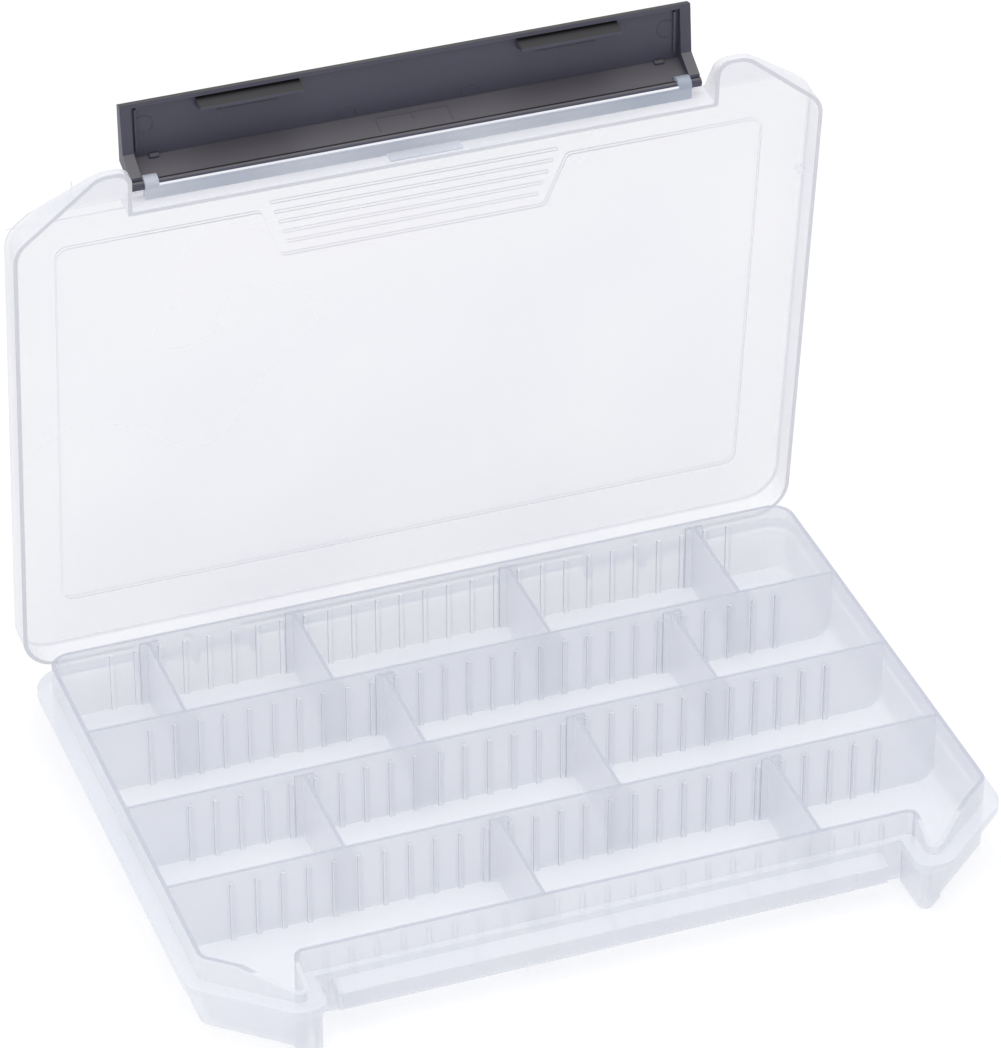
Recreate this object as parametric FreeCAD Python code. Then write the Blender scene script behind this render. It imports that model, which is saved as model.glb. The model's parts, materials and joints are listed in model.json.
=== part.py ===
import FreeCAD, Part
import math
import os

# Flat tackle case: a tray with three row walls, ten loose dividers, a lid on two
# clip hinges, and a full-width latch that swings on the front edge of the lid.
# X runs left to right, Y front to back, Z up. The origin is the middle of the
# face the tray rests on. The lid and latch are drawn shut and then swung open.

# Overall sizes, mm
length = 255.0             # over the shoulder, left to right
depth = 184.0              # over the shoulder, horn tips to back edge
closed_height = 28.0       # tray and shut lid together

# Tray moulding
wall = 1.3
floor = 1.4
shoulder_width = 4.7       # how far the shoulder stands out from the lip
shoulder_drop = 8.2        # top of the lip down to the shoulder
shoulder_plate = 1.6
shoulder_skirt = 2.8       # height of the shoulder's turned-down edge
back_radius = 7.0          # plan radius of the back corners of the lip
side_radius = 5.0          # plan radius where side wall meets the front chamfer
tip_radius = 3.6           # plan radius of the horn tip's outer corner
notch_edge_radius = 2.2    # plan radius of the horn tip's inner corner
notch_radius = 2.5         # plan radius of the notch's inside corners
foot_radius = 1.8          # rounding of the tray's lower outside edge
floor_radius = 6.0         # fillet between the floor and the side walls
shoulder_ledge = 2.0       # shoulder's reach in front of the notch wall
least_radius = 0.6         # no plan corner is sharper than this

# Front horns and the notch between them
horn_tip = 3.8             # front edge of a horn at the lip, from chamfer to notch
horn_reach = 12.0          # how far the horns reach in front of the notch wall
chamfer_x = 23.0           # front corner chamfer, along X
chamfer_y = 19.4           # front corner chamfer, along Y
horn_slope = 0.46          # fall of the horn tops per mm towards the front
horn_foot_grow = 3.2       # a horn's foot stands out this far below the shoulder
horn_foot_radius = 2.4

# Rows, ribs and dividers
rows = 4
row_wall = 1.2
slot_pitch = 7.88          # spacing of the ribs that make the divider slots
rib_free_side = 15.0       # no rib is nearer than this to a side wall ...
rib_free_notch = 6.0       # ... or to the end of the notch wall
rib_width = 1.5
rib_proud = 0.9            # how far a rib stands off its wall
rib_below_top = 3.4        # top of a rib below the top of the wall
divider_thick = 1.1
divider_below_top = 1.0    # dividers stop this far below the lip
divider_tee_thick = 1.0    # thickness of the T across each divider end
slot_clearance = 0.3       # divider to rib, on each side
end_clearance = 0.3        # divider to wall, at each end
floor_clearance = 0.05     # seated divider to floor
# Dividers of each row from the back, as rib spacings from the middle
divider_places = ((-11.5, -5.5, 3.5, 11.5), (-3.5, 8.5), (-8.5, 2.5), (-2.5, 8.5))

# Front catch that the latch snaps under
catch_below_lip = 9.8      # where the sloping catch leaves the notch wall
catch_reach = 6.6
catch_slope_drop = 3.5
catch_bottom = 5.9         # height of its lower edge above the resting face
catch_thick = 1.4
catch_webs = 5             # webs that stiffen the catch from behind
catch_end_gap = 0.5        # from the end of the catch to the latch's cheek

# Lid
lid_wall = 1.3
lid_headroom = 1.0         # tray's lip to the underside of the shut lid
lid_rim_gap = 0.1          # shut rim above the shoulder
lid_notch_gap = 0.4        # lid's notch wall to the tray's lip
lid_edge_radius = 1.2      # rounding of the lid's upper outside edge
panel_rise = 0.5           # the raised panel and its matching hollow
panel_side = 15.5          # lid edge to panel edge, at the sides
panel_back = 17.0
panel_front = 15.0         # notch wall to panel edge
panel_radius = 4.0
grip_wide_half = 48.5      # trapezoid left out of the panel for the thumb grip
grip_narrow_half = 42.0
grip_depth = 17.6
grip_ribs = 5
grip_rib_pitch = 3.9
grip_rib_first = 14.2      # notch wall to the first grip rib
grip_rib_half = 45.5
grip_rib_taper = 1.4       # each rib is this much shorter at both ends
grip_rib_width = 1.1
grip_rib_rise = 0.45

# Lid hinge: rods on the tray, clips on the lid
hinge_behind = 1.0         # axis behind the shoulder's back edge
hinge_below = 3.8          # axis below the shoulder's top
hinge_inner = 55.0         # each hinge zone runs from here ...
hinge_outer = 94.0         # ... to here, either side of the middle
hinge_rod_radius = 1.5
hinge_running_gap = 0.1    # clip bore to rod, radial
clip_wall = 1.3
clip_mouth = 2.6           # width of the clip's snap-in mouth
clip_lap = 0.8             # how far the clip's arm laps up the rim
ear_edge = 0.7             # ear material round the rod
ear_thick = 2.0
ear_gap = 0.4              # clip to ear, along X
lid_open_angle = 84.0

# Latch and the rail it turns in
latch_end_room = 6.6       # side of the notch to the end of the latch
latch_wall = 1.6
pivot_radius = 1.5
pivot_running_gap = 0.1
pivot_ahead = 3.6          # pivot axis in front of the lid's notch wall
pivot_below_lip = 0.8
rail_wall = 1.2
rail_lip_angle = 250.0     # where the open trough of the rail ends
hook_length = 4.2          # hooks close the rail at each end
hook_lip_angle = 105.0
hook_gap = 0.3
rail_pad_half = 11.3       # small pad below the middle of the rail
rail_pad_proud = 0.5
rail_pad_foot = 1.0        # rim to the pad's lower edge
latch_reach = 8.8          # pivot forwards to the inside corner of the latch
latch_top_sink = 0.15      # pivot stands this far above the start of the latch's top
latch_top_slope = 0.62     # fall of the latch's top per mm towards the front
latch_lean = 13.0          # degrees that the plate leans in towards the catch
latch_bottom = 0.8         # free edge of the shut latch above the resting face
latch_rim = 1.0            # how far the free edge's rim stands off the plate
latch_rim_thick = 1.2
lug_from_middle = 50.0     # the two lugs that snap under the catch
lug_length = 32.0
lug_reach = 5.5            # how far a lug stands off the plate
lug_root = 3.0             # height of a lug at the plate
lug_tip = 0.7              # height of a lug at its tip
lug_snap_gap = 0.6         # catch to the lug below it
cheek_thick = 3.4
cheek_rib = 2.6            # how far a cheek stands off the latch plate
cheek_below_pivot = 2.4
cheek_knee = 8.0           # pivot down to where the cheek narrows to its rib
latch_open_angle = 110.0

cut_over = 5.0             # how far a cutting tool runs past the solid
weld = 0.2                 # how far joined features run into each other
pie_step = 30.0            # degrees between the corners of a cutting wedge
same_place = 1e-4          # points nearer than this are one point

# Places worked out from the sizes above
lid_top = closed_height - panel_rise
tray_height = lid_top - lid_wall - lid_headroom
lip_half = length / 2 - shoulder_width
lip_back = depth / 2 - shoulder_width
lip_tip = -lip_back
notch_y = lip_tip + horn_reach
notch_half = lip_half - chamfer_x - horn_tip
back_inside = lip_back - wall
notch_inside = notch_y + wall
row_pitch = (back_inside - notch_inside) / rows
slot_ribs = 2 * int((lip_half - wall - rib_free_side) / slot_pitch) + 1
front_slot_ribs = 2 * int((notch_half - rib_free_notch) / slot_pitch) + 1
shoulder_top = tray_height - shoulder_drop
rim_bottom = shoulder_top + lid_rim_gap
lid_notch_y = notch_y - lid_notch_gap - lid_wall
hinge_y = depth / 2 + hinge_behind
hinge_z = shoulder_top - hinge_below
pivot_y = lid_notch_y - pivot_ahead
pivot_z = tray_height - pivot_below_lip
catch_y = notch_y - catch_reach
latch_half = notch_half - latch_end_room
cheek_x = latch_half - cheek_thick
rail_half = cheek_x - hook_gap - hook_length
catch_half = cheek_x - catch_end_gap
latch_start_z = pivot_z + pivot_radius - latch_top_sink
latch_under_z = latch_start_z - latch_wall * math.hypot(1, latch_top_slope)
latch_corner_y = pivot_y - latch_reach
latch_corner_z = latch_under_z - latch_reach * latch_top_slope


def vector(x, y, z=0.0):
    return FreeCAD.Vector(x, y, z)


def rounded_face(corners):
    """Flat face at Z 0 through (x, y, radius) corners, each rounded by an arc."""
    starts, ends, edges = [], [], []
    count = len(corners)
    for i, (x, y, radius) in enumerate(corners):
        here = vector(x, y)
        before = (vector(*corners[i - 1][:2]) - here).normalize()
        after = (vector(*corners[(i + 1) % count][:2]) - here).normalize()
        half = before.getAngle(after) / 2
        reach = radius / math.tan(half)
        start, end = here + before * reach, here + after * reach
        if radius > 0:
            toward = (before + after).normalize()
            middle = here + toward * (radius / math.sin(half) - radius)
            edges.append(Part.Arc(start, middle, end).toShape())
        starts.append(start)
        ends.append(end)
    for i in range(count):
        if ends[i].distanceToPoint(starts[(i + 1) % count]) > same_place:
            edges.append(Part.makeLine(ends[i], starts[(i + 1) % count]))
    wire = Part.Wire(Part.__sortEdges__(edges))
    return Part.Face(wire)


def case_outline(grow, notch_grow):
    """Plan of the case, moved outwards by grow, and by notch_grow at the notch wall."""
    turn = math.atan2(chamfer_y, chamfer_x)
    side = lip_half + grow
    tip = lip_tip - grow
    inner = notch_half - grow
    right = [
        (inner, notch_y - notch_grow, max(notch_radius - grow, least_radius)),
        (inner, tip, max(notch_edge_radius + min(grow, grow / 2), least_radius)),
        (lip_half - chamfer_x + grow * math.tan(turn / 2), tip, max(tip_radius + grow, least_radius)),
        (side, lip_tip + chamfer_y - grow * math.tan(math.pi / 4 - turn / 2), side_radius + grow),
        (side, lip_back + grow, back_radius + grow),
    ]
    left = [(-x, y, radius) for x, y, radius in reversed(right)]
    return rounded_face(right + left)


def slab(face, bottom, top):
    face = face.copy()
    face.translate(vector(0, 0, bottom))
    return face.extrude(vector(0, 0, top - bottom))


def block(x0, x1, y0, y1, z0, z1):
    return Part.makeBox(x1 - x0, y1 - y0, z1 - z0, vector(x0, y0, z0))


def side_profile(points, x0, x1):
    """Prism along X from x0 to x1 through (y, z) points."""
    corners = [vector(x0, y, z) for y, z in points]
    return Part.Face(Part.makePolygon(corners + corners[:1])).extrude(vector(x1 - x0, 0, 0))


def rod(y, z, radius, x0, x1):
    return Part.makeCylinder(radius, x1 - x0, vector(x0, y, z), vector(1, 0, 0))


def tube(y, z, inside, outside, x0, x1):
    return rod(y, z, outside, x0, x1).cut(rod(y, z, inside, x0 - cut_over, x1 + cut_over))


def both_sides(shape):
    return [shape, shape.mirror(vector(0, 0, 0), vector(1, 0, 0))]


def horn_wedge(top):
    """What is cut away above the horns, so that their tops fall towards the front."""
    front = -depth / 2 - cut_over
    fall = (notch_y - front) * horn_slope
    points = [(notch_y, top), (front, top - fall), (front, top + cut_over), (notch_y, top + cut_over)]
    return side_profile(points, -length, length)


def pie(y, z, radius, start, stop, x0, x1):
    """Wedge of a disc about the X axis, from angle start to stop, measured from +Y."""
    steps = max(2, math.ceil((stop - start) / pie_step))
    points = [(y, z)]
    for i in range(steps + 1):
        angle = math.radians(start + (stop - start) * i / steps)
        points.append((y + radius * math.cos(angle), z + radius * math.sin(angle)))
    return side_profile(points, x0, x1)


def rib_places(count):
    return [(i - (count - 1) / 2) * slot_pitch for i in range(count)]


def wall_rib(x, y, side):
    """Round-topped rib on a wall face at y, standing off towards side (+1 or -1)."""
    top = tray_height - rib_below_top
    face_y = y - weld if side > 0 else y - rib_proud
    half = rib_width / 2
    body = block(x - half, x + half, face_y, face_y + rib_proud + weld, floor - weld, top - half)
    cap = Part.makeCylinder(half, rib_proud + weld, vector(x, face_y, top - half), vector(0, 1, 0))
    return body.fuse(cap)


def wall_ribs(count, y, side):
    return [wall_rib(x, y, side) for x in rib_places(count)]


def lowest_edges(shape, height):
    return [edge for edge in shape.Edges if abs(edge.BoundBox.ZMax - height) < same_place]


def make_shoulder():
    """Ledge round the outside of the tray that the shut lid comes down on."""
    ring = slab(case_outline(shoulder_width, shoulder_ledge), shoulder_top - shoulder_skirt, shoulder_top)
    under = slab(case_outline(shoulder_width - wall, shoulder_ledge - wall),
                 shoulder_top - shoulder_skirt - cut_over, shoulder_top - shoulder_plate)
    inside = slab(case_outline(-weld, -weld), 0, tray_height)
    ring = ring.cut(under).cut(inside)
    for gap in both_sides(block(hinge_inner, hinge_outer, lip_back, depth, 0, tray_height)):
        ring = ring.cut(gap)
    return ring


def horn_foot_outline(inset):
    """Plan of a horn's foot, moved inwards by inset."""
    grow = horn_foot_grow - inset
    front = lip_tip - grow
    slant = chamfer_x / chamfer_y
    shift = inset * math.hypot(1, slant)
    middle_x = lip_half - chamfer_x / 2 - shift
    return rounded_face([
        (notch_half - grow, notch_y, 0), (notch_half - grow, front, horn_foot_radius - inset),
        (lip_half - chamfer_x - grow * slant - shift, front, 0),
        (middle_x, lip_tip + chamfer_y / 2, 0), (middle_x, notch_y, 0),
    ])


def make_horn_foot():
    """Wall that carries a horn's shoulder down to the foot, open below."""
    top = shoulder_top - shoulder_plate
    foot = slab(horn_foot_outline(0), 0, top)
    foot = foot.cut(slab(horn_foot_outline(wall), -cut_over, top + cut_over))
    return foot.cut(slab(case_outline(0, 0), 0, tray_height)).cut(make_shoulder())


def make_catch():
    """Sloping apron on the notch wall whose lower edge holds the latch."""
    top = tray_height - catch_below_lip
    knee = top - catch_slope_drop
    inner_y = catch_y + catch_thick
    slope = catch_slope_drop / catch_reach
    under = catch_thick * math.hypot(1, slope)
    apron = side_profile([
        (notch_y + weld, top), (catch_y, knee), (catch_y, catch_bottom), (inner_y, catch_bottom),
        (inner_y, knee + catch_thick * slope - under), (notch_y + weld, top - under),
    ], -catch_half, catch_half)
    web_outline = [(notch_y + weld, top), (catch_y, knee), (catch_y, catch_bottom),
                   (notch_y + weld, catch_bottom + catch_slope_drop)]
    spacing = (2 * catch_half - catch_thick) / (catch_webs - 1)
    webs = []
    for i in range(catch_webs):
        x0 = i * spacing - catch_half
        webs.append(side_profile(web_outline, x0, x0 + catch_thick))
    return apron.multiFuse(webs)


def make_channel(front, back, top):
    """Prism as wide as the tray's inside, with its lower side corners rounded."""
    side = lip_half - wall
    face = rounded_face([(-side, floor, floor_radius), (side, floor, floor_radius),
                         (side, top, 0), (-side, top, 0)])
    face.rotate(vector(0, 0, 0), vector(1, 0, 0), 90)
    face.translate(vector(0, back, 0))
    return face.extrude(vector(0, front - back, 0))


def make_tray_shell():
    outside = slab(case_outline(0, 0), 0, tray_height)
    outside = outside.makeFillet(foot_radius, lowest_edges(outside, 0))
    inside = slab(case_outline(-wall, -wall), floor, tray_height + cut_over)
    inside = inside.common(make_channel(-depth, depth, tray_height + cut_over))
    shell = outside.cut(inside).cut(horn_wedge(tray_height))
    features = [make_shoulder(), make_catch()]
    features += wall_ribs(slot_ribs, back_inside, -1)
    features += wall_ribs(front_slot_ribs, notch_inside, 1)
    return shell.multiFuse(features).removeSplitter()


def make_row_wall(number):
    """One of the long walls that split the tray into rows, with ribs on both faces."""
    y = back_inside - number * row_pitch
    half = row_wall / 2
    plate = make_channel(y - half, y + half, tray_height)
    ribs = wall_ribs(slot_ribs, y + half, 1) + wall_ribs(slot_ribs, y - half, -1)
    below = block(-length, length, -depth, depth, -cut_over, floor)
    return plate.multiFuse(ribs).cut(below).removeSplitter()


def make_divider(row, place):
    """Removable plate with a T across each end; the T fits between two ribs."""
    x = place * slot_pitch
    back = back_inside - row * row_pitch - (row_wall / 2 if row else 0)
    front = back_inside - (row + 1) * row_pitch + (row_wall / 2 if row < rows - 1 else 0)
    back -= end_clearance
    front += end_clearance
    bottom = floor + floor_clearance
    top = tray_height - divider_below_top
    tee = (slot_pitch - rib_width) / 2 - slot_clearance
    plate = block(x - divider_thick / 2, x + divider_thick / 2, front, back, bottom, top)
    ends = [block(x - tee, x + tee, front, front + divider_tee_thick, bottom, top),
            block(x - tee, x + tee, back - divider_tee_thick, back, bottom, top)]
    return plate.multiFuse(ends).removeSplitter()


def hinge_ears():
    """X ranges of the three ears in the right-hand hinge zone."""
    middle = (hinge_inner + hinge_outer - ear_thick) / 2
    return [(x, x + ear_thick) for x in (hinge_inner, middle, hinge_outer - ear_thick)]


def make_hinge_bracket():
    """Three ears on the tray's back wall, with the rod that the lid clips turn on."""
    half = hinge_rod_radius + ear_edge
    parts = [rod(hinge_y, hinge_z, hinge_rod_radius, hinge_inner, hinge_outer)]
    for x0, x1 in hinge_ears():
        arm = block(x0, x1, lip_back, hinge_y, hinge_z - half, hinge_z + half)
        parts.append(arm.fuse(rod(hinge_y, hinge_z, half, x0, x1)))
    return parts[0].multiFuse(parts[1:]).removeSplitter()


def make_hinge_clip(x0, x1):
    """C-shaped clip that snaps over a hinge rod, with the arm that joins it to the rim."""
    bore = hinge_rod_radius + hinge_running_gap
    outside = bore + clip_wall
    ring = tube(hinge_y, hinge_z, bore, outside, x0, x1)
    mouth = block(x0, x1, hinge_y - clip_mouth / 2, hinge_y + clip_mouth / 2,
                  hinge_z - outside - cut_over, hinge_z)
    arm = block(x0, x1, depth / 2 - lid_wall, hinge_y + clip_wall / 2,
                hinge_z + bore + weld, rim_bottom + clip_lap)
    return ring.cut(mouth).fuse(arm)


def hinge_clips():
    ears = hinge_ears()
    spans = [(ears[i][1] + ear_gap, ears[i + 1][0] - ear_gap) for i in range(2)]
    return [clip for x0, x1 in spans for clip in both_sides(make_hinge_clip(x0, x1))]


def make_panel(bottom, top):
    """The raised panel of the lid, with the trapezoid left out for the thumb grip."""
    half = length / 2 - panel_side
    front = notch_y + panel_front - lid_notch_gap
    back = depth / 2 - panel_back
    right = [
        (grip_narrow_half, front + grip_depth, panel_radius / 2),
        (grip_wide_half, front, panel_radius / 2),
        (half, front, panel_radius),
        (half, back, panel_radius),
    ]
    left = [(-x, y, radius) for x, y, radius in reversed(right)]
    return slab(rounded_face(right + left), bottom, top)


def top_edges(shape):
    """Edges round the lid's top and horn tops, without the crease between them."""
    edges = [edge for edge in shape.Edges if edge.BoundBox.ZMin > rim_bottom + lid_wall]
    return [edge for edge in edges if abs(edge.CenterOfMass.y - notch_y) > weld]


def make_lid_shell():
    notch_grow = lid_notch_gap + lid_wall
    outside = slab(case_outline(shoulder_width, notch_grow), rim_bottom, lid_top)
    outside = outside.cut(horn_wedge(lid_top))
    outside = outside.makeFillet(lid_edge_radius, top_edges(outside))
    outside = outside.fuse(make_panel(lid_top - weld, lid_top + panel_rise))
    ceiling = lid_top - lid_wall
    slant = lid_wall * (math.hypot(1, horn_slope) - 1)
    inside = slab(case_outline(shoulder_width - lid_wall, lid_notch_gap), rim_bottom - cut_over, ceiling)
    inside = inside.cut(horn_wedge(ceiling - slant))
    inside = inside.fuse(make_panel(ceiling - weld, ceiling + panel_rise))
    lid = outside.cut(inside)
    grips = []
    for i in range(grip_ribs):
        y = lid_notch_y + grip_rib_first + i * grip_rib_pitch
        half = grip_rib_half - i * grip_rib_taper
        grips.append(block(-half, half, y - grip_rib_width / 2, y + grip_rib_width / 2,
                           lid_top - weld, lid_top + grip_rib_rise))
    return lid.multiFuse(grips + hinge_clips()).removeSplitter()


def make_latch_rail():
    """Trough along the lid's notch wall that the latch pivot lies in, hooked at its ends."""
    bore = pivot_radius + pivot_running_gap
    outside = bore + rail_wall
    trough = tube(pivot_y, pivot_z, bore, outside, -rail_half, rail_half)
    trough = trough.common(pie(pivot_y, pivot_z, outside * 2, rail_lip_angle, 360, -length, length))
    hook = tube(pivot_y, pivot_z, bore, outside, rail_half, rail_half + hook_length)
    hook = hook.common(pie(pivot_y, pivot_z, outside * 2, hook_lip_angle, 360, -length, length))
    web = block(-rail_half - hook_length, rail_half + hook_length, pivot_y, lid_notch_y,
                pivot_z - outside, pivot_z)
    web = web.cut(rod(pivot_y, pivot_z, bore, -length, length))
    pad = block(-rail_pad_half, rail_pad_half, lid_notch_y - rail_pad_proud, lid_notch_y,
                rim_bottom + rail_pad_foot, pivot_z - outside + weld)
    return trough.multiFuse(both_sides(hook) + [web, pad]).removeSplitter()


def latch_inside(z):
    """Y of the latch plate's inner face at height z, with the latch shut."""
    return latch_corner_y + (latch_corner_z - z) * math.tan(math.radians(latch_lean))


def make_latch():
    """Latch bar: pivot, sloping top, leaning plate, snap lip and end cheeks, drawn shut."""
    lean = math.radians(latch_lean)
    top_out = vector(-latch_top_slope, 1).normalize()
    plate_out = vector(-math.cos(lean), -math.sin(lean))
    mitre = (top_out + plate_out) * (latch_wall / (1 + top_out.dot(plate_out)))
    corner = (latch_corner_y + mitre.x, latch_corner_z + mitre.y)
    rim_y = latch_inside(latch_bottom) + latch_rim
    rim_top = latch_bottom + latch_rim_thick
    section = [
        (pivot_y, latch_start_z), corner,
        (latch_inside(latch_bottom) - latch_wall / math.cos(lean), latch_bottom),
        (rim_y, latch_bottom), (rim_y, rim_top), (latch_inside(rim_top), rim_top),
        (latch_corner_y, latch_corner_z), (pivot_y, latch_under_z),
    ]
    knee_z = pivot_z - cheek_knee
    cheek = side_profile(section[:5] + [
        (latch_inside(knee_z) + cheek_rib, knee_z), (pivot_y, pivot_z - cheek_below_pivot),
    ], cheek_x, latch_half)
    hook_room = pivot_radius + pivot_running_gap + rail_wall + hook_gap
    latch = side_profile(section, -latch_half, latch_half)
    for room in both_sides(rod(pivot_y, pivot_z, hook_room, rail_half - hook_gap, cheek_x)):
        latch = latch.cut(room)
    pivot = rod(pivot_y, pivot_z, pivot_radius, -latch_half, latch_half)
    return latch.multiFuse([pivot] + both_sides(cheek) + both_sides(make_latch_lug())).removeSplitter()


def make_latch_lug():
    """Wedge on the inner face of the latch plate that snaps under the catch."""
    top = catch_bottom - lug_snap_gap
    root = top - lug_root
    tip_y = latch_inside(top) + lug_reach
    outline = [(latch_inside(top) - weld, top), (latch_inside(root) - weld, root),
               (tip_y, top - lug_tip), (tip_y, top)]
    start = lug_from_middle - lug_length / 2
    return side_profile(outline, start, start + lug_length)


def swing_lid(shape):
    shape = shape.copy()
    shape.rotate(vector(0, hinge_y, hinge_z), vector(-1, 0, 0), lid_open_angle)
    return shape


def swing_latch(shape):
    shape = shape.copy()
    shape.rotate(vector(0, pivot_y, pivot_z), vector(-1, 0, 0), latch_open_angle)
    return swing_lid(shape)


def build_nodes():
    nodes = {"tray_shell": make_tray_shell()}
    for number in range(1, rows):
        nodes["row_wall_%d" % number] = make_row_wall(number)
    for name, shape in (("hinge_bracket", make_hinge_bracket()), ("horn_foot", make_horn_foot())):
        nodes[name + "_right"], nodes[name + "_left"] = both_sides(shape)
    nodes["lid_shell"] = swing_lid(make_lid_shell())
    nodes["latch_rail"] = swing_lid(make_latch_rail())
    nodes["latch_bar"] = swing_latch(make_latch())
    number = 0
    for row, places in enumerate(divider_places):
        for place in places:
            number += 1
            nodes["divider_%02d" % number] = make_divider(row, place)
    return nodes


os.makedirs("parts", exist_ok=True)
for name, shape in build_nodes().items():
    shape.exportStep("parts/%s.step" % name)
    print("%-20s solids %d valid %s volume %.0f" % (name, len(shape.Solids), shape.isValid(), shape.Volume))
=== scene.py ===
import json
import math

import bmesh
import bpy
from mathutils import Matrix, Vector


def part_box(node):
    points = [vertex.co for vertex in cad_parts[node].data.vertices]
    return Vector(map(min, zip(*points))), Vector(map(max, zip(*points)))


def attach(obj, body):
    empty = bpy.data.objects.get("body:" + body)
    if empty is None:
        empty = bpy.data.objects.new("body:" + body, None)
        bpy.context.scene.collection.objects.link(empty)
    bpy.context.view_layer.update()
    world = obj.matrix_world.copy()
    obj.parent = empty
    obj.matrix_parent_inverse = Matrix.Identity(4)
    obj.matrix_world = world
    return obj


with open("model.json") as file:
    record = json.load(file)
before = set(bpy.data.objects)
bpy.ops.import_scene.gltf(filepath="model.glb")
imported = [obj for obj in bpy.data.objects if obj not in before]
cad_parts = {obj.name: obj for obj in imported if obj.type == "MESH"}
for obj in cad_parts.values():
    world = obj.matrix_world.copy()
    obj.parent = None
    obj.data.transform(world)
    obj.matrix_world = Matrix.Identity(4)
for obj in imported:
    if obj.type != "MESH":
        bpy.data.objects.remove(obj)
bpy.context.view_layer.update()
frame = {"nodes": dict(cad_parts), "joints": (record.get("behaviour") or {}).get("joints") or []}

# A flat tackle case of clear polypropylene: tray, row walls, loose dividers and lid,
# with a dark full-width latch on the lid's front edge. Everything is in metres.

MM = 0.001
NODES = frame["nodes"]
JOINTS = {joint["name"]: joint for joint in frame["joints"]}
LID_HINGE = Vector(JOINTS["lid_hinge"]["pos_m"])
LATCH_HINGE = Vector(JOINTS["latch_hinge"]["pos_m"])
LID_OPEN = math.radians(-JOINTS["lid_hinge"]["range_deg"][0])
LATCH_OPEN = math.radians(-JOINTS["latch_hinge"]["range_deg"][0])
TRAY_LOW, TRAY_HIGH = (Vector(corner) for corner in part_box("tray_shell"))
LIP_Z = TRAY_HIGH.z

# Heights in the shut case and measures of the latch and its rail, as the mouldings have them
RIM_Z = 17.1 * MM              # lower edge of the lid's rim
CEILING_Z = 26.2 * MM          # underside of the lid
NOTCH_Y = -77.0 * MM           # outer face of the lid's notch wall
LATCH_CORNER = Vector((0, -89.4, 18.41)) * MM
PLATE_LENGTH = 18.07 * MM      # inside corner of the latch to its free edge
PLATE_LEAN = math.radians(13.0)
BAND_FALL = math.atan(0.62)    # fall of the latch's sloping band
BACK_WALL_Y = 86.0 * MM        # inner face of the tray's back wall
ROW_PITCH = 40.0 * MM
RIB_ZONE = 1.7 * MM            # ribs stand no further than this from the middle of a row wall
RIBS_HALF = 104 * MM           # no rib stands further than this from the middle of the case
RAIL_HALF = 81.5 * MM
RAIL_RADIUS = 2.8 * MM
RAIL_LIP = math.radians(250.0)
BEAD_RADIUS = 0.48 * MM
PAD_HALF = 11.3 * MM
CATCH_Y = -81.9 * MM           # outer face of the tray's catch
CATCH_FOOT = 5.9 * MM          # lower edge of the catch
SINK = 0.05 * MM               # how far a raised mark is set into its face
SOFT_EDGE = 0.1 * MM           # rounding of a mark's edges, at most SOFT_SHARE of its least measure
SOFT_SHARE = 0.3
TAB_GAP = 0.02 * MM            # from the lid's ceiling to the face that its tabs are set on

# Raised bars: the place across the case and along the face, then the width, length and height.
# One that comes in pairs is given for the right half.
LUG_LINE = (50 * MM, 0.6 * PLATE_LENGTH), (19 * MM, 0.35 * MM, 0.2 * MM)
END_RIB = (84.6 * MM, 0.5 * PLATE_LENGTH), (0.8 * MM, 0.78 * PLATE_LENGTH, 0.8 * MM)
CORNER_LINE = (0, 0.2 * MM), (168 * MM, 0.3 * MM, 0.22 * MM)
OUTLINE_LONG = (0, 2.2 * MM), (2 * PAD_HALF, 0.3 * MM, 0.2 * MM)
OUTLINE_TICK = (0, 3.4 * MM), (0.4 * MM, 2.2 * MM, 0.25 * MM)
OUTLINE_END = (PAD_HALF, 5.0 * MM), (0.3 * MM, 5.6 * MM, 0.2 * MM)
END_STOP = (79.5 * MM, 0.9 * MM), (3.0 * MM, 1.6 * MM, 0.9 * MM)
HORN_RIB = (-107 * MM, 81 * MM), (0.5 * MM, 9 * MM, 0.5 * MM)
SIDE_RIB = (124.9 * MM, 40 * MM), (2.0 * MM, 1.2 * MM, 3.5 * MM)
HORN_LINE = (-107 * MM, 72.3 * MM), (40 * MM, 0.4 * MM, 0.4 * MM)
PAD_BLOCK = (0, 2.85 * MM), (2 * PAD_HALF + 0.3 * MM, 3.9 * MM, 0.75 * MM)
PAD_STEP = (PAD_HALF + 7 * MM, 1.0 * MM), (12 * MM, 0.4 * MM, 0.3 * MM)
CATCH_END = (80 * MM, 3.4 * MM), (9 * MM, 5.6 * MM, 0.4 * MM)
CATCH_LINE = (0, 0.35 * MM), (150 * MM, 0.5 * MM, 0.3 * MM)

# Ejector rings on the latch: the place across and along its plate, then the radius
END_RING = (82 * MM, 0.58 * PLATE_LENGTH), 2.8 * MM
MIDDLE_RING = (19.5 * MM, 1.6 * MM), 2.7 * MM
RING_BEAD = 0.18 * MM

# How far a face's normal leans, as the size of one of its parts
LIP_LEVEL = 0.85               # the top of a lip is more level than this
STEP_LEVEL = 0.6               # the side of a step is less level than this
SIDEWAYS = 0.6                 # the narrow side of a rib looks along the case more than this
# The band is painted lighter as painted light and the undersides darker as painted shade.
BAND_DOWN = 0.6, 0.88          # the latch's sloping band, seen in the shut case
SHADED_DOWN = 0.88, 0.91        # its level undersides, from where they begin to where they are full

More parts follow.
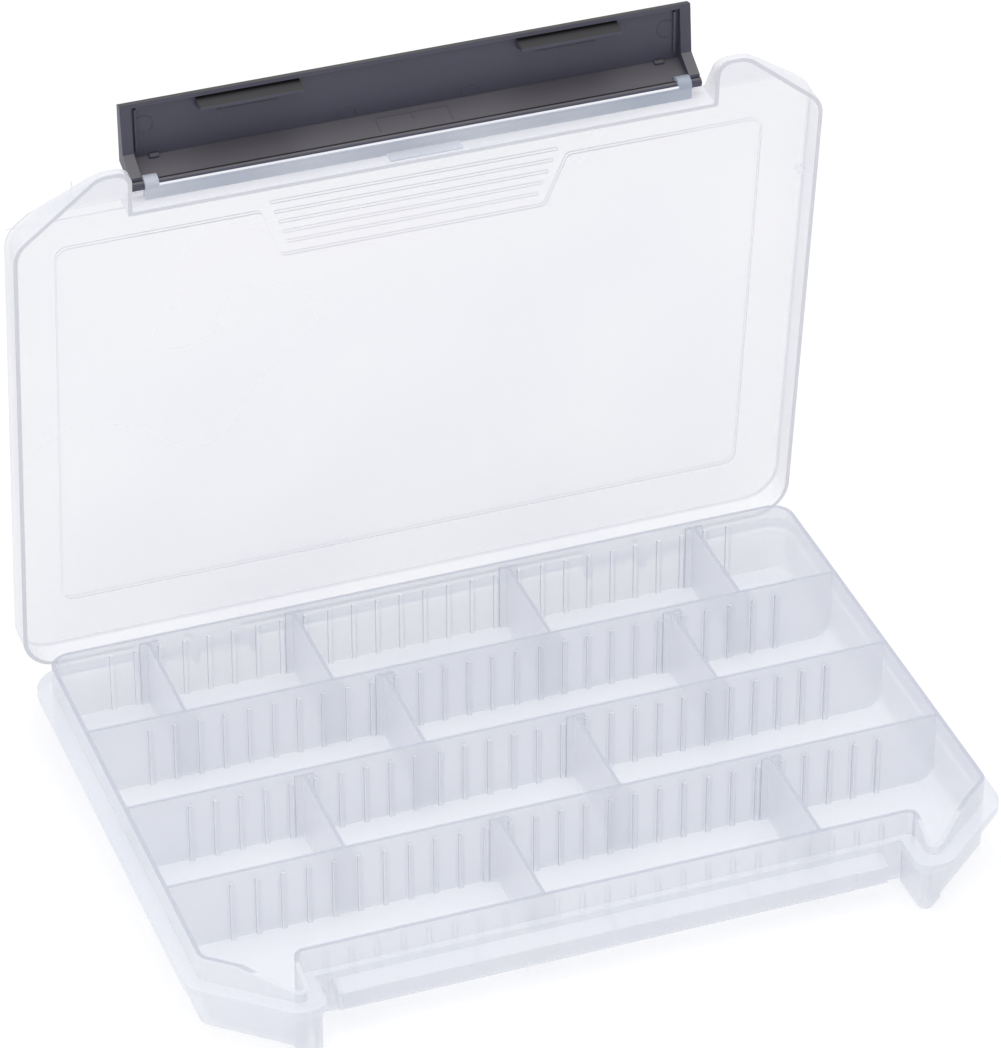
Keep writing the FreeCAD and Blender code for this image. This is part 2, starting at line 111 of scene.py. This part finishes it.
PLASTIC_IOR = 1.49             # polypropylene
MILKY = "#DEE1EA"              # where clear polypropylene is cloudiest
CLOUD_SIZE = 45 * MM           # cloudy patches in clear polypropylene
RIPPLE_SIZE = 12 * MM          # slow waves in its surface
FLOW_SIZE = 9 * MM             # flow marks, before they are stretched along the latch
PIT_SIZE = 0.5 * MM
FIBRE_SIZE = 2 * MM
MARK_DENSITY = 0.8             # how much an edge or a rib's side hides of what lies behind it
SCATTERED_SHARE = 0.22         # how much of the plastic's density shadow and scattered light meet
NOWHERE = 1.0, 1.1             # heights above any part of the case, for a moulding with no marked edges

# A Mix node's sockets share their names, so they are taken by number.
NUMBER_A, NUMBER_B, COLOUR_A, COLOUR_B = 2, 3, 6, 7
COLOUR_OUT = 2

CAMERA_PLACE = (-0.4594, -1.2324, 1.0079)
CAMERA_PITCH = math.radians(90 - 34.555)
CAMERA_TURN = math.radians(-20.188)
LENS_MM = 187.3
SENSOR_MM = 36.0
STUDIO_CENTRE = (0, 0, 0.05)
FLOOR_HALF = 6.0
FLOOR_GAP = 0.05 * MM          # keeps the floor clear of the tray's underside
SEE_THROUGH_FACES = 48         # a look through the open case passes twenty and more thin faces


def turned(place, angle):
    """Turn by angle about the line along -X through place."""
    return Matrix.Translation(place) @ Matrix.Rotation(-angle, 4, "X") @ Matrix.Translation(-place)


OPEN_LID = turned(LID_HINGE, LID_OPEN)
PIVOT = OPEN_LID.inverted() @ LATCH_HINGE
OPEN_LATCH = OPEN_LID @ turned(PIVOT, LATCH_OPEN)


# Helpers

def colour(text):
    """sRGB hex to the linear RGBA that the shaders use."""
    values = [int(text[i:i + 2], 16) / 255 for i in (1, 3, 5)]
    linear = [v / 12.92 if v <= 0.04045 else ((v + 0.055) / 1.055) ** 2.4 for v in values]
    return (*linear, 1.0)


def add(tree, kind, inputs=None, **settings):
    """Adds a shader node; inputs maps a socket to a value or to the socket that feeds it."""
    node = tree.nodes.new("ShaderNode" + kind)
    for key, value in settings.items():
        setattr(node, key, value)
    for key, value in (inputs or {}).items():
        if isinstance(value, bpy.types.NodeSocket):
            tree.links.new(value, node.inputs[key])
        else:
            node.inputs[key].default_value = value
    return node


def new_material(name):
    """A material with an empty node tree, and that tree."""
    material = bpy.data.materials.new(name)
    material.use_nodes = True
    material.node_tree.nodes.clear()
    return material, material.node_tree


def give(material, *names):
    """Puts a material on every slot of the named CAD pieces."""
    for name in names:
        for material_slot in NODES[name].material_slots:
            material_slot.link = "DATA"
            material_slot.material = material


# Materials

def shut_frame(tree, source, opening, kind):
    """Turns a place or a vector of an open moulding back to where it is in the shut case."""
    back = opening.inverted()
    values = {"Vector": source, "Rotation": back.to_euler()}
    if kind == "POINT":
        values["Location"] = back.translation
    return add(tree, "Mapping", values, vector_type=kind).outputs[0]


def between(tree, value, low, high):
    """1 where the value lies between low and high, else 0."""
    above = add(tree, "Math", {0: value, 1: low}, operation="GREATER_THAN").outputs[0]
    below = add(tree, "Math", {0: value, 1: high}, operation="LESS_THAN").outputs[0]
    return add(tree, "Math", {0: above, 1: below}, operation="MULTIPLY").outputs[0]


def rib_side_shade(tree, place, normal):
    """1 on the narrow sides of the ribs and of the dividers' ends, which stand beside each row wall; these
    are painted a darker lilac as painted shade.
    """
    axes = add(tree, "SeparateXYZ", {"Vector": place}).outputs
    from_back = add(tree, "Math", {0: axes["Y"], 1: BACK_WALL_Y}, operation="SUBTRACT").outputs[0]
    from_wall = add(tree, "Math", {0: from_back, 1: ROW_PITCH / 2}, operation="PINGPONG").outputs[0]
    near_wall = add(tree, "Math", {0: from_wall, 1: RIB_ZONE}, operation="LESS_THAN").outputs[0]
    in_ribs = between(tree, axes["X"], -RIBS_HALF, RIBS_HALF)
    beside_wall = add(tree, "Math", {0: near_wall, 1: in_ribs}, operation="MULTIPLY").outputs[0]
    across = add(tree, "SeparateXYZ", {"Vector": normal}).outputs["X"]
    lean = add(tree, "Math", {0: across}, operation="ABSOLUTE").outputs[0]
    sideways = add(tree, "Math", {0: lean, 1: SIDEWAYS}, operation="GREATER_THAN").outputs[0]
    return add(tree, "Math", {0: sideways, 1: beside_wall}, operation="MULTIPLY").outputs[0]


def clear_polypropylene(name, opening, edge_z, line_z, face="#E6E8EF", shade_line="#BEC1CE", thin=0.38, thick=0.9,
                        ribbed=False):
    """Natural polypropylene, injection moulded: milky and see-through with a satin gloss. It is denser
    where the eye looks along a wall, and its lips, steps and rib sides are painted a darker lilac as painted
    shade.
    edge_z and line_z are the heights, in the shut case, of the level edges and of the steps so marked."""
    material, tree = new_material(name)
    place = add(tree, "TexCoord").outputs["Object"]
    normal = add(tree, "NewGeometry").outputs["True Normal"]
    shut_place = shut_frame(tree, place, opening, "POINT")
    shut_normal = shut_frame(tree, normal, opening, "VECTOR")
    height = add(tree, "SeparateXYZ", {"Vector": shut_place}).outputs["Z"]
    upward = add(tree, "SeparateXYZ", {"Vector": shut_normal}).outputs["Z"]
    tilt = add(tree, "Math", {0: upward}, operation="ABSOLUTE").outputs[0]
    # Level lip tops, steps and rib sides are masked here to be painted a darker lilac as painted shade.
    level = add(tree, "Math", {0: tilt, 1: LIP_LEVEL}, operation="GREATER_THAN").outputs[0]
    at_edge = between(tree, height, *edge_z)
    edge = add(tree, "Math", {0: level, 1: at_edge}, operation="MULTIPLY").outputs[0]
    rising = add(tree, "Math", {0: tilt, 1: STEP_LEVEL}, operation="LESS_THAN").outputs[0]
    at_step = between(tree, height, *line_z)
    step = add(tree, "Math", {0: rising, 1: at_step}, operation="MULTIPLY").outputs[0]
    shade_mark = add(tree, "Math", {0: edge, 1: step}, operation="MAXIMUM").outputs[0]
    if ribbed:
        shaded_sides = rib_side_shade(tree, place, normal)
        shade_mark = add(tree, "Math", {0: shade_mark, 1: shaded_sides}, operation="MAXIMUM").outputs[0]
    cloud = add(tree, "TexNoise", {"Vector": place, "Scale": 1 / CLOUD_SIZE, "Detail": 0.0}).outputs["Fac"]
    ripple = add(tree, "TexNoise", {"Vector": place, "Scale": 1 / RIPPLE_SIZE, "Detail": 0.0}).outputs["Fac"]
    milky = add(tree, "Mix", {"Factor": cloud, COLOUR_A: colour(face), COLOUR_B: colour(MILKY)},
                data_type="RGBA").outputs[COLOUR_OUT]
    # Painted shade: the masked lips, steps and rib sides take the darker lilac shade_line colour.
    tint = add(tree, "Mix", {"Factor": shade_mark, COLOUR_A: milky, COLOUR_B: colour(shade_line)},
               data_type="RGBA").outputs[COLOUR_OUT]
    grazing = add(tree, "LayerWeight", {"Blend": 0.3}).outputs["Facing"]
    density = add(tree, "MapRange", {"Value": grazing, "From Min": 0.15, "From Max": 1.0,
                                     "To Min": thin, "To Max": thick}).outputs[0]
    marked = add(tree, "Mix", {"Factor": shade_mark, NUMBER_A: density, NUMBER_B: MARK_DENSITY},
                 data_type="FLOAT").outputs[0]
    # Milky plastic passes scattered light on, so it shades what lies behind it much less than it veils it.
    path = add(tree, "LightPath").outputs
    passing = add(tree, "Math", {0: path["Is Shadow Ray"], 1: path["Is Diffuse Ray"]},
                  operation="MAXIMUM").outputs[0]
    share = add(tree, "MapRange", {"Value": passing, "To Min": 1.0, "To Max": SCATTERED_SHARE}).outputs[0]
    alpha = add(tree, "Math", {0: marked, 1: share}, operation="MULTIPLY").outputs[0]
    roughness = add(tree, "MapRange", {"Value": cloud, "To Min": 0.29, "To Max": 0.38}).outputs[0]
    bump = add(tree, "Bump", {"Height": ripple, "Strength": 0.5, "Distance": 0.06 * MM}).outputs[0]
    shader = add(tree, "BsdfPrincipled", {
        "Base Color": tint, "Roughness": roughness, "IOR": PLASTIC_IOR, "Alpha": alpha, "Normal": bump})
    add(tree, "OutputMaterial", {"Surface": shader.outputs[0]})
    return material


def black_polypropylene():
    """Carbon-black polypropylene, injection moulded: a satin slate with faint flow marks along the bar
    and fine pits. The sloping band is painted lighter and browner as painted light, and the level undersides
    of the shut latch are painted near black as painted shade.
    Real pits are finer than these, which are as coarse as they need to be to show."""
    material, tree = new_material("black polypropylene")
    place = add(tree, "TexCoord").outputs["Object"]
    normal = add(tree, "NewGeometry").outputs["True Normal"]
    shut_normal = shut_frame(tree, normal, OPEN_LATCH, "VECTOR")
    upward = add(tree, "SeparateXYZ", {"Vector": shut_normal}).outputs["Z"]
    down = add(tree, "Math", {0: upward, 1: -1.0}, operation="MULTIPLY").outputs[0]
    # Painted shade: faces that look down in the shut latch are painted near black.
    underside_shade = add(tree, "MapRange", {"Value": down, "From Min": SHADED_DOWN[0],
                                   "From Max": SHADED_DOWN[1]}).outputs[0]
    # Painted light: the sloping band is painted lighter and browner.
    band_light = between(tree, down, *BAND_DOWN)
    stretched = add(tree, "Mapping", {"Vector": place, "Scale": (0.25, 1, 1)}).outputs[0]
    flow = add(tree, "TexNoise", {"Vector": stretched, "Scale": 1 / FLOW_SIZE, "Detail": 3.0}).outputs["Fac"]
    pits = add(tree, "TexNoise", {"Vector": place, "Scale": 1 / PIT_SIZE, "Detail": 1.0}).outputs["Fac"]
    plate = add(tree, "Mix", {"Factor": flow, COLOUR_A: colour("#3F3F4F"), COLOUR_B: colour("#484858")},
                data_type="RGBA").outputs[COLOUR_OUT]
    band = add(tree, "Mix", {"Factor": band_light, COLOUR_A: plate, COLOUR_B: colour("#57555B")},
               data_type="RGBA").outputs[COLOUR_OUT]
    tint = add(tree, "Mix", {"Factor": underside_shade, COLOUR_A: band, COLOUR_B: colour("#232123")},
               data_type="RGBA").outputs[COLOUR_OUT]
    roughness = add(tree, "MapRange", {"Value": flow, "To Min": 0.38, "To Max": 0.5}).outputs[0]
    bump = add(tree, "Bump", {"Height": pits, "Strength": 0.15, "Distance": 0.03 * MM}).outputs[0]
    shader = add(tree, "BsdfPrincipled", {
        "Base Color": tint, "Roughness": roughness, "IOR": PLASTIC_IOR, "Normal": bump})
    add(tree, "OutputMaterial", {"Surface": shader.outputs[0]})
    return material


def matt_paper():
    """Pale uncoated paper, with a faint mottle of fibres."""
    material, tree = new_material("matt paper")
    place = add(tree, "TexCoord").outputs["Object"]
    fibre = add(tree, "TexNoise", {"Vector": place, "Scale": 1 / FIBRE_SIZE, "Detail": 2.0}).outputs["Fac"]
    tint = add(tree, "Mix", {"Factor": fibre, COLOUR_A: colour("#F5F5F7"), COLOUR_B: colour("#F8F8F9")},
               data_type="RGBA").outputs[COLOUR_OUT]
    shader = add(tree, "BsdfPrincipled", {"Base Color": tint, "Roughness": 0.9})
    add(tree, "OutputMaterial", {"Surface": shader.outputs[0]})
    return material


# Small features moulded on the latch, rail, catch and lid

def finish_piece(name, sheet, place, material, body):
    """Puts a bmesh made in its own flat frame where it belongs and lets it ride on its body."""
    bmesh.ops.transform(sheet, matrix=place, verts=sheet.verts)
    bmesh.ops.recalc_face_normals(sheet, faces=sheet.faces)
    mesh = bpy.data.meshes.new(name)
    sheet.to_mesh(mesh)
    sheet.free()
    mesh.materials.append(material)
    piece = bpy.data.objects.new(name, mesh)
    bpy.context.scene.collection.objects.link(piece)
    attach(piece, body)


def flat_frame(corner, along, out):
    """Matrix whose X runs along the case, Y along the face and Z out of it."""
    across = Vector((1, 0, 0))
    return Matrix.Translation(corner) @ Matrix((across, along, out)).transposed().to_4x4()


def edges_of(verts):
    """The edges that meet the vertices, each once and always in the same order."""
    return list(dict.fromkeys(edge for vert in verts for edge in vert.link_edges))


def add_bar(sheet, bar, side=1, rounding=SOFT_EDGE):
    """A soft-edged bar with its underside sunk into the face; side -1 puts it on the other half."""
    (across, along), size = bar
    made = bmesh.ops.create_cube(sheet, size=1.0)["verts"]
    bmesh.ops.scale(sheet, vec=size, verts=made)
    bmesh.ops.translate(sheet, vec=(side * across, along, size[2] / 2 - SINK), verts=made)
    edges = edges_of(made)
    bmesh.ops.bevel(sheet, geom=edges, offset=min(rounding, SOFT_SHARE * min(size)), segments=2,
                    profile=0.5, affect="EDGES", material=-1)


def add_ring(sheet, ring, side):
    """A thin round bead, as the edge of an ejector pin leaves."""
    (across, along), radius = ring
    middle = Vector((side * across, along, 0))
    made = bmesh.ops.create_circle(sheet, cap_ends=False, segments=12, radius=RING_BEAD)
    bmesh.ops.rotate(sheet, cent=(0, 0, 0), matrix=Matrix.Rotation(math.pi / 2, 3, "X"), verts=made["verts"])
    bmesh.ops.translate(sheet, vec=middle + Vector((radius, 0, 0)), verts=made["verts"])
    bmesh.ops.spin(sheet, geom=made["verts"] + edges_of(made["verts"]), cent=middle, axis=(0, 0, 1),
                   angle=math.tau, steps=48, use_merge=True)


def latch_plate_frame():
    """On the plate's inner face: Y from the inside corner to the free edge."""
    along = Vector((0, math.sin(PLATE_LEAN), -math.cos(PLATE_LEAN)))
    out = Vector((0, math.cos(PLATE_LEAN), math.sin(PLATE_LEAN)))
    return OPEN_LATCH @ flat_frame(LATCH_CORNER, along, out)


def latch_band_frame():
    """On the sloping band's inner face: Y from the inside corner to the pivot."""
    along = Vector((0, math.cos(BAND_FALL), math.sin(BAND_FALL)))
    out = Vector((0, math.sin(BAND_FALL), -math.cos(BAND_FALL)))
    return OPEN_LATCH @ flat_frame(LATCH_CORNER, along, out)


def make_latch_marks(material):
    """On the plate, ejector rings, a line beside each lug and a rib at each end; on the band, a plain
    outline in the middle and a stop at each end."""
    plate = bmesh.new()
    for side in (-1, 1):
        add_ring(plate, END_RING, side)
        add_bar(plate, LUG_LINE, side)
        add_bar(plate, END_RIB, side)
        add_ring(plate, MIDDLE_RING, side)
    add_bar(plate, CORNER_LINE)
    finish_piece("latch_plate_marks", plate, latch_plate_frame(), material, "latch")
    band = bmesh.new()
    add_bar(band, OUTLINE_LONG)
    add_bar(band, OUTLINE_TICK)
    for side in (-1, 1):
        add_bar(band, OUTLINE_END, side)
        add_bar(band, END_STOP, side, 3 * SOFT_EDGE)
    finish_piece("latch_band_marks", band, latch_band_frame(), material, "latch")


def make_rail_bead(material):
    """Thickened lip along the rail's open edge, painted near white and nearly opaque as a painted highlight
    line.
    """
    bead = bmesh.new()
    made = bmesh.ops.create_cone(bead, cap_ends=True, segments=16, radius1=BEAD_RADIUS, radius2=BEAD_RADIUS,
                                 depth=2 * RAIL_HALF)
    bmesh.ops.rotate(bead, cent=(0, 0, 0), matrix=Matrix.Rotation(math.pi / 2, 3, "Y"), verts=made["verts"])
    lip = Vector((0, math.cos(RAIL_LIP), math.sin(RAIL_LIP))) * (RAIL_RADIUS - BEAD_RADIUS)
    place = OPEN_LID @ Matrix.Translation(PIVOT + lip)
    finish_piece("rail_bead", bead, place, material, "lid")


def make_lid_tabs(material):
    """Two small ribs beside the lid's left horn and one on its right side wall, and the pad that the
    rail stands on, with a low step beside each end."""
    tabs = bmesh.new()
    down = Matrix.Translation((0, 0, CEILING_Z - TAB_GAP)) @ Matrix.Rotation(math.pi, 4, "X")
    add_bar(tabs, HORN_RIB)
    add_bar(tabs, SIDE_RIB)
    add_bar(tabs, HORN_LINE)
    finish_piece("lid_inner_ribs", tabs, OPEN_LID @ down, material, "lid")
    pad = bmesh.new()
    face = flat_frame(Vector((0, NOTCH_Y, RIM_Z)), Vector((0, 0, 1)), Vector((0, -1, 0)))
    add_bar(pad, PAD_BLOCK)
    for side in (-1, 1):
        add_bar(pad, PAD_STEP, side)
    finish_piece("lid_pad_steps", pad, OPEN_LID @ face, material, "lid")


def make_catch_ends(material):
    """Flat blocks at the two ends of the tray's catch, and a line along its foot."""
    ends = bmesh.new()
    catch = flat_frame(Vector((0, CATCH_Y, CATCH_FOOT)), Vector((0, 0, 1)), Vector((0, -1, 0)))
    for side in (-1, 1):
        add_bar(ends, CATCH_END, side, 1.5 * SOFT_EDGE)
    add_bar(ends, CATCH_LINE)
    finish_piece("catch_end_blocks", ends, catch, material, "tray")


# Studio

def make_floor():
    """A wide flat sheet of paper just under the tray."""
    mesh = bpy.data.meshes.new("floor")
    sheet = bmesh.new()
    bmesh.ops.create_grid(sheet, x_segments=1, y_segments=1, size=FLOOR_HALF)
    sheet.to_mesh(mesh)
    sheet.free()
    floor = bpy.data.objects.new("floor", mesh)
    floor.location = (0, 0, TRAY_LOW.z - FLOOR_GAP)
    bpy.context.scene.collection.objects.link(floor)
    mesh.materials.append(matt_paper())


def add_light(name, place, size, power):
    """A square softbox that looks at the middle of the studio."""
    lamp = bpy.data.lights.new(name, "AREA")
    lamp.shape = "SQUARE"
    lamp.size = size
    lamp.energy = power
    light = bpy.data.objects.new(name, lamp)
    light.location = place
    light.rotation_euler = (Vector(STUDIO_CENTRE) - Vector(place)).to_track_quat("-Z", "Y").to_euler()
    bpy.context.scene.collection.objects.link(light)


def make_studio():
    """White surroundings, a large softbox overhead and a smaller one to the left."""
    world = bpy.data.worlds.new("studio")
    world.use_nodes = True
    background = world.node_tree.nodes["Background"]
    background.inputs["Color"].default_value = colour("#FFFFFF")
    background.inputs["Strength"].default_value = 0.8
    bpy.context.scene.world = world
    add_light("overhead softbox", place=(0.1, 0.1, 1.6), size=1.4, power=10.0)
    add_light("left softbox", place=(-1.5, -0.5, 0.9), size=0.9, power=3.0)


def make_camera():
    """A long lens that looks down on the open case from the front left."""
    lens = bpy.data.cameras.new("camera")
    lens.lens = LENS_MM
    lens.sensor_width = SENSOR_MM
    lens.clip_end = 20.0
    camera = bpy.data.objects.new("camera", lens)
    camera.location = CAMERA_PLACE
    camera.rotation_euler = (CAMERA_PITCH, 0, CAMERA_TURN)
    bpy.context.scene.collection.objects.link(camera)
    bpy.context.scene.camera = camera


make_camera()
make_floor()
make_studio()

shut = Matrix.Identity(4)
# The darker lilac given to lips, steps and rib sides below is painted shade.
tray_plastic = clear_polypropylene(
    "clear polypropylene", shut, edge_z=(LIP_Z - 1.3 * MM, LIP_Z + 1 * MM), line_z=NOWHERE,
    thin=0.44, ribbed=True)
lid_plastic = clear_polypropylene(
    "clear polypropylene lid", OPEN_LID, edge_z=(RIM_Z - 0.3 * MM, RIM_Z + 0.3 * MM),
    line_z=(CEILING_Z - 0.1 * MM, CEILING_Z + 3 * MM), face="#EDEDF1", shade_line="#CFD0D8", thin=0.28)
rail_plastic = clear_polypropylene(
    "clear polypropylene rail", OPEN_LID, NOWHERE, NOWHERE, face="#7E90A8", thin=0.6, thick=0.78)
# The rail's lip is painted near white as a painted highlight.
lip_highlight_plastic = clear_polypropylene(
    "clear polypropylene lip highlight", OPEN_LID, NOWHERE, NOWHERE, face="#FAFAFC", thin=0.9, thick=0.95)
latch_plastic = black_polypropylene()
give(tray_plastic, *[name for name in NODES if name not in ("lid_shell", "latch_rail", "latch_bar")])
give(lid_plastic, "lid_shell")
give(rail_plastic, "latch_rail")
give(latch_plastic, "latch_bar")

make_latch_marks(latch_plastic)
make_rail_bead(lip_highlight_plastic)
make_lid_tabs(lid_plastic)
make_catch_ends(tray_plastic)

bpy.context.scene.cycles.transparent_max_bounces = SEE_THROUGH_FACES
bpy.context.scene.view_settings.view_transform = "Standard"   # keeps whites white
